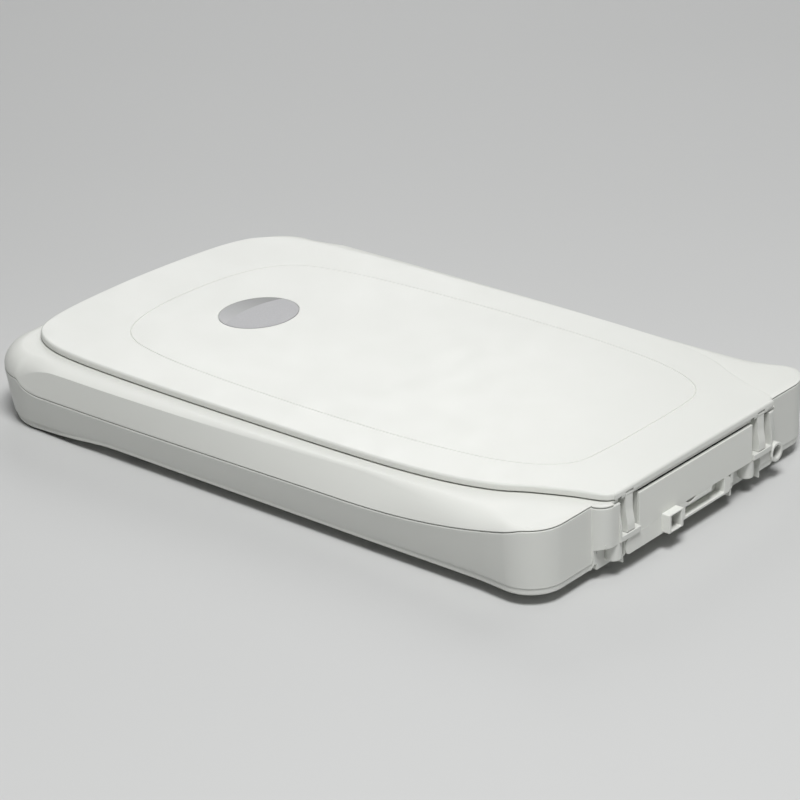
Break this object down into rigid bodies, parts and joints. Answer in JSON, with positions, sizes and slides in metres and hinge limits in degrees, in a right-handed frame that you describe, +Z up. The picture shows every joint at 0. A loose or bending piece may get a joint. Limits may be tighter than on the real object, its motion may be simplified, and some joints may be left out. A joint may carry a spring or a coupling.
{
  "type": "flatbed scanner",
  "caption": "Legal-size desktop flatbed scanner: low rounded base with a glass platen, a lifting and tilting lid, a motor-driven scan head inside, and a data port and power jack at the back.",
  "frame": {"origin": "on the table, under the middle of the scanner's bounding box", "axes": "+Z up, +Y towards the hinge and port end, -Y towards the user's end, +X to the user's right"},
  "size_m": [0.3, 0.5026, 0.0584],
  "materials": {
    "case_plastic": "off-white ABS casing, fine moulded texture, semi-matt",
    "lid_plastic": "off-white ABS lid, smooth satin",
    "badge_silver": "silver-grey domed plastic, satin",
    "platen_glass": "clear float glass",
    "mat_foam": "white foam with a smooth film face",
    "white_plastic": "matt white",
    "black_plastic": "black moulded plastic",
    "acetal": "natural acetal",
    "steel": "bright steel",
    "bronze": "sintered bronze",
    "mirror_glass": "front-silvered mirror",
    "rubber": "black rubber",
    "circuit_board": "green solder mask",
    "flat_cable": "white polyester flat cable",
    "lamp_glass": "white phosphor-coated glass tube"
  },
  "bodies": {
    "root": {"lower_shell": "case_plastic", "upper_shell": "case_plastic", "rear_panel": "case_plastic", "foot_front_left": "rubber", "foot_front_right": "rubber", "foot_rear_left": "rubber", "foot_rear_right": "rubber", "shell_screw_1": "steel", "shell_screw_2": "steel", "shell_screw_3": "steel", "shell_screw_4": "steel", "platen_glass": "platen_glass", "calibration_strip": "white_plastic", "side_rule": "white_plastic", "back_rule": "white_plastic", "gear_axle": "steel", "motor_bracket": "steel", "stepper_motor": "steel", "drive_belt": "rubber", "idler_axle": "steel", "idler_slide": "acetal", "tension_spring": "steel", "guide_rod": "steel", "rod_clip_front": "acetal", "rod_clip_rear": "acetal", "main_board": "circuit_board", "usb_socket": "steel", "power_jack": "black_plastic"},
    "hinge_posts": {"hinge_post_left": "case_plastic", "hinge_post_right": "case_plastic", "hinge_pin_left": "steel", "hinge_pin_right": "steel"},
    "lid": {"lid_shell": "lid_plastic", "lid_liner": "case_plastic", "document_mat": "mat_foam", "lid_badge": "badge_silver"},
    "scan_head": {"carriage_frame": "black_plastic", "rod_bush_front": "bronze", "rod_bush_rear": "bronze", "slide_shoe": "acetal", "lamp_tube": "lamp_glass", "lamp_reflector": "white_plastic", "mirror_1": "mirror_glass", "mirror_2": "mirror_glass", "mirror_3": "mirror_glass", "lens_barrel": "black_plastic", "sensor_board": "circuit_board", "belt_clamp": "acetal", "ribbon_cable": "flat_cable"},
    "drive_gear": {"drive_gear": "acetal"},
    "motor_pinion": {"motor_pinion": "bronze"},
    "idler": {"idler_pulley": "acetal"},
    "transport_lock": {"transport_lock": "black_plastic"}
  },
  "joints": [
    {"name": "lid_lift", "type": "slide", "parent": "root", "child": "hinge_posts", "axis": [0, 0, 1], "range_m": [0, 0.012]},
    {"name": "lid_tilt", "type": "hinge", "parent": "hinge_posts", "child": "lid", "pos_m": [0, 0.2438, 0.0531], "axis": [-1, 0, 0], "range_deg": [0, 80]},
    {"name": "scan_head_slide", "type": "slide", "parent": "root", "child": "scan_head", "axis": [0, -1, 0], "range_m": [0, 0.36], "deforming": ["ribbon_cable"]},
    {"name": "drive_gear_spin", "type": "hinge", "parent": "root", "child": "drive_gear", "pos_m": [-0.127, -0.212, 0.0336], "axis": [0, 0, 1], "continuous": true},
    {"name": "motor_pinion_spin", "type": "hinge", "parent": "root", "child": "motor_pinion", "pos_m": [-0.11, -0.2225, 0.0336], "axis": [0, 0, 1], "continuous": true},
    {"name": "idler_spin", "type": "hinge", "parent": "root", "child": "idler", "pos_m": [-0.127, 0.215, 0.027], "axis": [0, 0, 1], "continuous": true},
    {"name": "transport_lock_slide", "type": "slide", "parent": "root", "child": "transport_lock", "axis": [0, 1, 0], "range_m": [0, 0.01]}
  ],
  "couplings": [
    {"joint": "drive_gear_spin", "follows": "scan_head_slide", "rad_per_m": -156.25},
    {"joint": "idler_spin", "follows": "scan_head_slide", "rad_per_m": -156.25},
    {"joint": "motor_pinion_spin", "follows": "scan_head_slide", "rad_per_m": 703.12}
  ]
}
